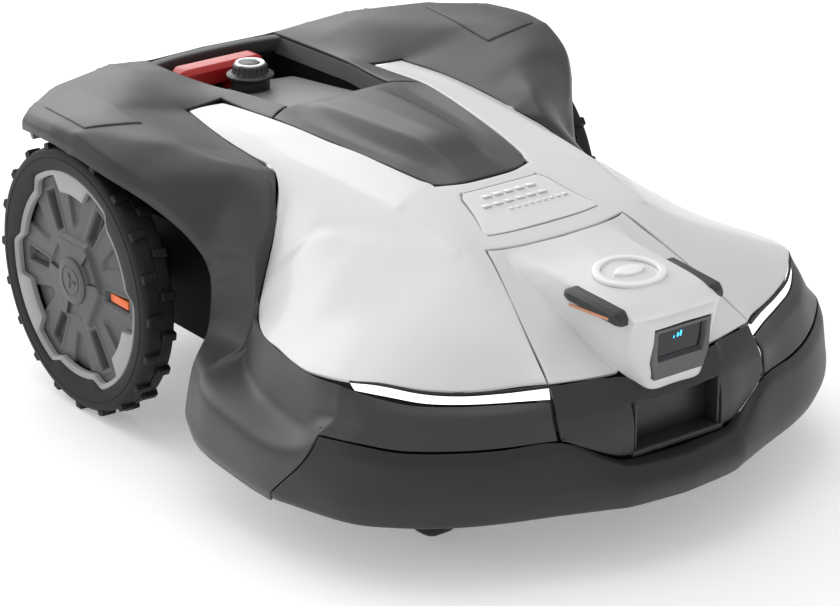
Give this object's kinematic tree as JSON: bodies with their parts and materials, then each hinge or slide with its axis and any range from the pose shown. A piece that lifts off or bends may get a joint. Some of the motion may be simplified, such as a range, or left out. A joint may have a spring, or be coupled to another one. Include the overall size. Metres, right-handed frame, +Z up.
{
  "type": "robotic lawn mower",
  "caption": "Low wheeled robotic lawn mower with a floating body shell, large driven rear wheels, trailing front casters and a height-adjusted cutting disc underneath.",
  "frame": {"origin": "On the ground at the middle of the overall length and width, under the machine.", "axes": "+Z up, front of the machine towards -Y, its right-hand side towards -X."},
  "size_m": [0.5558, 0.7133, 0.2738],
  "materials": {
    "shell_grey": "satin moulded plastic",
    "hood_white": "semi-gloss moulded plastic",
    "insert_grey": "satin moulded plastic",
    "plate_white": "satin plate",
    "frame_grey": "satin moulded plastic",
    "dark_glass": "smooth dark window",
    "bar_black": "satin moulded plastic",
    "copper": "brushed contact strip",
    "led_white": "translucent diffuser",
    "chin_grey": "satin moulded plastic",
    "bumper_grey": "fine-grained soft plastic",
    "cap_grey": "satin moulded plastic",
    "deck_grey": "satin moulded plastic",
    "inner_black": "matt moulded plastic",
    "stop_red": "semi-gloss moulded plastic",
    "dial_black": "ribbed soft-touch plastic",
    "dial_silver": "satin ring",
    "tyre_rubber": "moulded rubber",
    "rim_grey": "satin moulded plastic",
    "trim_light": "satin moulded plastic",
    "marker_orange": "semi-gloss insert",
    "steel": "ground steel",
    "motor_metal": "cast housing",
    "battery_blue": "shrink-wrapped pack",
    "board_green": "solder-masked board",
    "gear_plastic": "moulded acetal"
  },
  "bodies": {
    "chassis": {"chassis_tub": "inner_black", "chassis_cover": "inner_black", "support_posts": "inner_black", "gearmotors": "motor_metal", "battery": "battery_blue", "battery_hatch": "inner_black", "main_board": "board_green", "hatch_screws": "steel", "guide_rods": "steel", "height_motor": "motor_metal"},
    "shell": {"rear_shell": "shell_grey", "hood": "hood_white", "centre_insert": "insert_grey", "name_plate": "plate_white", "nose_cover": "hood_white", "emblem": "hood_white", "sensor_frame": "frame_grey", "sensor_window": "dark_glass", "contact_bars": "bar_black", "charge_strips": "copper", "led_strips": "led_white", "led_trims": "bar_black", "chin_panel": "chin_grey", "bumper": "bumper_grey", "fender_caps": "cap_grey", "control_deck": "deck_grey", "pocket_tub": "inner_black", "shell_cups": "inner_black"},
    "stop": {"stop_bar": "stop_red"},
    "dial_press": {"dial_base": "dial_black"},
    "dial": {"dial_knob": "dial_black", "dial_ring": "dial_silver"},
    "wheel_right": {"tyre_right": "tyre_rubber", "rim_right": "rim_grey", "trim_right": "trim_light", "hub_cap_right": "rim_grey", "marker_right": "marker_orange", "axle_right": "steel"},
    "wheel_left": {"tyre_left": "tyre_rubber", "rim_left": "rim_grey", "trim_left": "trim_light", "hub_cap_left": "rim_grey", "marker_left": "marker_orange", "axle_left": "steel"},
    "caster_right": {"caster_fork_right": "inner_black"},
    "caster_left": {"caster_fork_left": "inner_black"},
    "caster_roller_right": {"caster_wheel_right": "tyre_rubber"},
    "caster_roller_left": {"caster_wheel_left": "tyre_rubber"},
    "carriage": {"carriage": "inner_black"},
    "height_gear": {"height_pinion": "gear_plastic"},
    "disc": {"spindle": "steel", "cutting_disc": "steel", "blade_screws": "steel"},
    "skid": {"skid_plate": "inner_black"},
    "blade_one": {"blade_a": "steel"},
    "blade_two": {"blade_b": "steel"},
    "blade_three": {"blade_c": "steel"}
  },
  "joints": [
    {"name": "shell_bump", "type": "slide", "parent": "chassis", "child": "shell", "axis": [0, 1, 0], "range_m": [-0.006, 0.006], "stiffness_N_per_m": 4000},
    {"name": "stop_press", "type": "slide", "parent": "shell", "child": "stop", "axis": [0, 0, 1], "range_m": [-0.005, 0], "stiffness_N_per_m": 1500, "springref_m": 0.001},
    {"name": "dial_push", "type": "slide", "parent": "shell", "child": "dial_press", "axis": [0, 0, 1], "range_m": [-0.002, 0], "stiffness_N_per_m": 1500, "springref_m": 0.0005},
    {"name": "dial_turn", "type": "hinge", "parent": "dial_press", "child": "dial", "pos_m": [0, 0.2705, 0.236], "axis": [0, 0, 1], "continuous": true},
    {"name": "wheel_right_roll", "type": "hinge", "parent": "chassis", "child": "wheel_right", "pos_m": [-0.234, 0.1855, 0.1225], "axis": [1, 0, 0], "continuous": true},
    {"name": "wheel_left_roll", "type": "hinge", "parent": "chassis", "child": "wheel_left", "pos_m": [0.234, 0.1855, 0.1225], "axis": [1, 0, 0], "continuous": true},
    {"name": "caster_right_swivel", "type": "hinge", "parent": "chassis", "child": "caster_right", "pos_m": [-0.15, -0.2165, 0.11], "axis": [0, 0, 1], "continuous": true},
    {"name": "caster_left_swivel", "type": "hinge", "parent": "chassis", "child": "caster_left", "pos_m": [0.15, -0.2165, 0.11], "axis": [0, 0, 1], "continuous": true},
    {"name": "caster_right_roll", "type": "hinge", "parent": "caster_right", "child": "caster_roller_right", "pos_m": [-0.15, -0.1965, 0.038], "axis": [1, 0, 0], "continuous": true},
    {"name": "caster_left_roll", "type": "hinge", "parent": "caster_left", "child": "caster_roller_left", "pos_m": [0.15, -0.1965, 0.038], "axis": [1, 0, 0], "continuous": true},
    {"name": "cut_height", "type": "slide", "parent": "chassis", "child": "carriage", "axis": [0, 0, 1], "range_m": [-0.02, 0.02]},
    {"name": "height_gear_turn", "type": "hinge", "parent": "chassis", "child": "height_gear", "pos_m": [0, -0.0835, 0.117], "axis": [1, 0, 0], "range_deg": [-116, 116]},
    {"name": "disc_spin", "type": "hinge", "parent": "carriage", "child": "disc", "pos_m": [0, -0.0215, 0.043], "axis": [0, 0, 1], "continuous": true},
    {"name": "skid_spin", "type": "hinge", "parent": "carriage", "child": "skid", "pos_m": [0, -0.0215, 0.035], "axis": [0, 0, 1], "continuous": true},
    {"name": "blade_one_swing", "type": "hinge", "parent": "disc", "child": "blade_one", "pos_m": [0.088, -0.0215, 0.041], "axis": [0, 0, 1], "continuous": true},
    {"name": "blade_two_swing", "type": "hinge", "parent": "disc", "child": "blade_two", "pos_m": [-0.044, 0.0547, 0.041], "axis": [0, 0, 1], "continuous": true},
    {"name": "blade_three_swing", "type": "hinge", "parent": "disc", "child": "blade_three", "pos_m": [-0.044, -0.0977, 0.041], "axis": [0, 0, 1], "continuous": true}
  ],
  "couplings": [
    {"joint": "height_gear_turn", "follows": "cut_height", "rad_per_m": 100}
  ]
}
